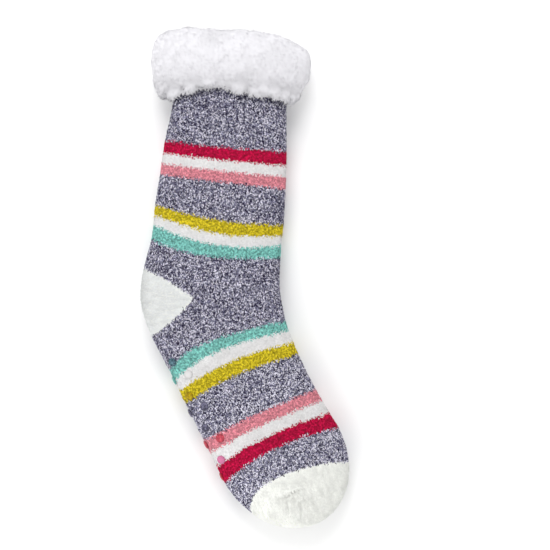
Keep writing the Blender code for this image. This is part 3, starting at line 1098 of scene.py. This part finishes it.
class SOCK_OT_curls(bpy.types.Operator):
    """Cover the cuff and the mouth of the sock with small curls of sherpa fibre"""

    bl_idname = "house_sock.curls"
    bl_label = "Sherpa Curls"

    def execute(self, context):
        sock = context.scene.house_sock
        look = sock.sherpa
        form = SockForm(sock.sizes)
        grid = sherpa_grid(form, look)
        rng = np.random.default_rng(CURL_SEED)
        rows = grid.row[:, 0]
        shown = (rows > CURLS_FROM) & (rows < LAST_FOLD + CURLS_PAST_LIP)
        kept = SherpaGrid(*(values[shown] for values in grid))
        root, normal, row, turn, shade = scatter(kept, look.curls, rng)
        hem = bell(row, HEM_ROW, HEM_SPREAD)
        heading = random_headings(normal, rng, math.pi / 2)
        hangs = (hem > HEM_HANGS) & (normal[:, 2] > HEM_HANGS_ABOVE)
        heading[hangs] = combed(normal[hangs], HEM_COMB, rng, HEM_COMB_SPREAD)
        run = look.curl_length * rng.uniform(*CURL_RUN, look.curls) * (1 + HEM_LONGER * hem)
        width = look.curl_width * rng.uniform(*CURL_WIDTH, look.curls) * (1 + HEM_WIDER * hem)
        rise = CURL_HEIGHT * rng.uniform(*CURL_RISE, look.curls)
        tip_rise = rise * rng.uniform(*CURL_TIP, look.curls) + HEM_FRINGE * hem * rng.random(look.curls)
        fibres = (root - normal * CURL_SINK, normal, heading, run, width, rise, tip_rise)
        normals = ruffled(normal, rng, CURL_RUFFLE, CURL_LIFT)
        material = sherpa_material("sherpa_curls", tone_of(sock.yarns, "sherpa"))
        places = sherpa_chart(row, turn)
        fibre_piece("sherpa_curls", fibres, normals, CURL_OWN, shade, places, material)
        return {"FINISHED"}


def grip_places(form, grip):
    """Places along the sole and turns around it for each grip dot."""
    fine = np.linspace(math.pi / 2, 3 * math.pi / 2, ARC_SAMPLES)
    for row in GRIP_ROWS:
        for along in np.arange(row.start, row.end, grip.pitch):
            outline = form.skin(np.full(ARC_SAMPLES, along), fine, 0.0)
            walked = np.concatenate([[0.0], np.cumsum(np.linalg.norm(np.diff(outline, axis=0), axis=1))])
            fold = np.interp(math.pi, fine, walked)
            yield along, float(np.interp(fold - row.around, walked, fine))


def grip_dot(form, grip, along, turn):
    """One low dome on the sole: rings of points that follow the surface."""
    near_along = np.array([along, along + GRIP_STEP, along])
    near_turn = np.array([turn, turn, turn + GRIP_STEP])
    here, ahead, around = form.skin(near_along, near_turn, 0.0)
    normal = unit(np.cross(around - here, ahead - here))
    ahead = unit(ahead - here)
    across = np.cross(normal, ahead)
    angles = 2 * math.pi * np.arange(DOT_SIDES) / DOT_SIDES
    rim = np.outer(np.cos(angles), ahead) + np.outer(np.sin(angles), across)
    rings = []
    for k in range(DOT_RINGS + 1):
        slope = math.pi / 2 * k / (DOT_RINGS + 1)
        out = grip.diameter / 2 * math.cos(slope)
        up = grip.height * math.sin(slope) - GRIP_SINK
        rings.append(here + rim * out + normal * up)
    base = here + rim * (grip.diameter / 2) - normal * (GRIP_SINK + FUZZ_DEPTH)
    top = here + normal * (grip.height - GRIP_SINK)
    return np.concatenate([base, *rings, [top]])


def soaked_tone(form, grip, yarns, along, turn):
    """The colour of gel on the yarns around one place, whose dyes run together, and how flecked it is."""
    angles = 2 * math.pi * np.arange(DOT_SIDES) / DOT_SIDES
    reach = GEL_REACH * grip.diameter / 2
    near_along = np.append(along + reach * np.cos(angles), along)
    place = form.skin(np.array([along, along]), np.array([turn, turn + TURN_STEP]), 0.0)
    turn_reach = reach * TURN_STEP / np.linalg.norm(place[1] - place[0])
    near_turn = np.append(turn + turn_reach * np.sin(angles), turn)
    plan = form.skin(near_along, near_turn, 0.0)[:, :2]
    tones = np.array([mean_tone(yarns, name) for name in YARN_NAMES])
    under = yarn_at(form, near_along, near_turn, plan)
    deepened = np.log(tones) * np.array([[yarn.gel] for yarn in YARNS])
    run_together = np.exp(deepened[under].mean(axis=0))
    fleck = np.mean([YARNS[k].fleck for k in under])
    # The gel's colour is painted lighter for the light that it lets through
    return np.append(np.minimum(GEL_GLOW * run_together, 1.0), fleck)


class SOCK_OT_grip_dots(bpy.types.Operator):
    """Set drops of gel in staggered rows on both sides of the sole's fold"""

    bl_idname = "house_sock.grip_dots"
    bl_label = "Grip Dots"

    def execute(self, context):
        sock = context.scene.house_sock
        form = SockForm(sock.sizes)
        rings = DOT_RINGS + 2
        sides = ring_faces(rings, DOT_SIDES).tolist()
        last = (rings - 1) * DOT_SIDES
        peak = rings * DOT_SIDES
        cap = [[last + k, peak, last + (k + 1) % DOT_SIDES] for k in range(DOT_SIDES)]
        dome = sides + cap + [list(range(DOT_SIDES))]
        verts, faces, tones = [], [], []
        # Painted shade at each drop's rim and painted light at its crown
        gain = np.append(np.repeat(np.linspace(GEL_RIM_SHADE, GEL_CROWN_LIGHT, rings), DOT_SIDES), GEL_CROWN_LIGHT)
        for along, turn in grip_places(form, sock.grip):
            dot = grip_dot(form, sock.grip, along, turn)
            faces += [[len(verts) * len(dot) + k for k in face] for face in dome]
            verts.append(dot)
            tone = soaked_tone(form, sock.grip, sock.yarns, along, turn)
            tones.append(np.column_stack([np.outer(gain, tone[:3]), np.full(len(dot), tone[3])]))
        piece = new_piece("grip_dots", np.concatenate(verts), faces, gel_material("grip_gel"))
        face_outwards(piece)
        paint(piece, "soaked", np.concatenate(tones))
        return {"FINISHED"}


def plain_material(name, tone, roughness):
    shading = Shading(name)
    shading.set(Base_Color=(*tone, 1.0), Roughness=roughness, Specular_IOR_Level=0.1)
    return shading.material


def area_lamp(name, place, size, power):
    """A round soft lamp that points at the middle of the floor."""
    data = bpy.data.lights.new(name, "AREA")
    data.shape = "DISK"
    data.size = size
    data.energy = power
    lamp = bpy.data.objects.new(name, data)
    lamp.location = place
    lamp.rotation_mode = "QUATERNION"
    lamp.rotation_quaternion = (-Vector(place)).to_track_quat("-Z", "Y")
    bpy.context.scene.collection.objects.link(lamp)


def light_tent(overhead, sides):
    """White light from all round that is stronger low down than overhead, as in a tent of white cloth."""
    world = bpy.data.worlds.new("light_tent")
    world.use_nodes = True
    nodes, links = world.node_tree.nodes, world.node_tree.links
    place = nodes.new("ShaderNodeTexCoord")
    split = nodes.new("ShaderNodeSeparateXYZ")
    strength = nodes.new("ShaderNodeMapRange")
    strength.interpolation_type = "SMOOTHERSTEP"
    strength.inputs["To Min"].default_value = sides
    strength.inputs["To Max"].default_value = overhead
    links.new(place.outputs["Generated"], split.inputs["Vector"])
    links.new(split.outputs["Z"], strength.inputs["Value"])
    links.new(strength.outputs["Result"], nodes["Background"].inputs["Strength"])
    nodes["Background"].inputs["Color"].default_value = (1.0, 1.0, 1.0, 1.0)
    return world


class SOCK_OT_stage(bpy.types.Operator):
    """Lay a plain pale floor, set soft lamps, and look straight down at the sock"""

    bl_idname = "house_sock.stage"
    bl_label = "Stage"

    def execute(self, context):
        look = context.scene.house_sock.stage
        corners = [(-1, -1), (1, -1), (1, 1), (-1, 1)]
        mesh = bpy.data.meshes.new("floor")
        mesh.from_pydata([(x * FLOOR_HALF, y * FLOOR_HALF, 0.0) for x, y in corners], [], [(0, 1, 2, 3)])
        mesh.materials.append(plain_material("floor", tuple(look.floor[:]), 0.9))
        floor = bpy.data.objects.new("floor", mesh)
        context.scene.collection.objects.link(floor)
        context.scene.world = light_tent(look.sky, look.sides)
        area_lamp("key", KEY_PLACE, KEY_SIZE, look.key)
        area_lamp("fill", FILL_PLACE, FILL_SIZE, look.fill)
        camera = bpy.data.cameras.new("camera")
        camera.lens, camera.sensor_width = CAMERA_LENS, CAMERA_SENSOR
        eye = bpy.data.objects.new("camera", camera)
        away = look.view_width * CAMERA_LENS / CAMERA_SENSOR
        eye.location = (*CAMERA_CENTRE, SILHOUETTE_HEIGHT + away)
        context.scene.collection.objects.link(eye)
        context.scene.camera = eye
        context.scene.view_settings.view_transform = "Standard"
        return {"FINISHED"}


class SOCK_PT_panel(bpy.types.Panel):
    """The sock's pieces and what can be changed on them"""

    bl_idname = "SOCK_PT_panel"
    bl_label = "House Sock"
    bl_space_type = "VIEW_3D"
    bl_region_type = "UI"
    bl_category = "House Sock"

    def draw(self, context):
        sock = context.scene.house_sock
        for operator in OPERATORS:
            self.layout.operator(operator.bl_idname)
        for group in (sock.sizes, sock.yarns, sock.pile, sock.sherpa, sock.grip, sock.stage):
            box = self.layout.box()
            for name in group.__annotations__:
                box.prop(group, name)


GROUPS = (SockSizes, YarnColours, PileLook, SherpaLook, GripLook, StageLook, HouseSock)
OPERATORS = (SOCK_OT_stage, SOCK_OT_knit, SOCK_OT_pile, SOCK_OT_sherpa, SOCK_OT_curls, SOCK_OT_grip_dots)


def register():
    for each in (*GROUPS, *OPERATORS, SOCK_PT_panel):
        bpy.utils.register_class(each)
    bpy.types.Scene.house_sock = PointerProperty(type=HouseSock)


def unregister():
    del bpy.types.Scene.house_sock
    for each in reversed((*GROUPS, *OPERATORS, SOCK_PT_panel)):
        bpy.utils.unregister_class(each)


def main():
    register()
    bpy.ops.house_sock.stage()
    bpy.ops.house_sock.knit()
    bpy.ops.house_sock.pile()
    bpy.ops.house_sock.sherpa()
    bpy.ops.house_sock.curls()
    bpy.ops.house_sock.grip_dots()


if __name__ == "__main__":
    main()
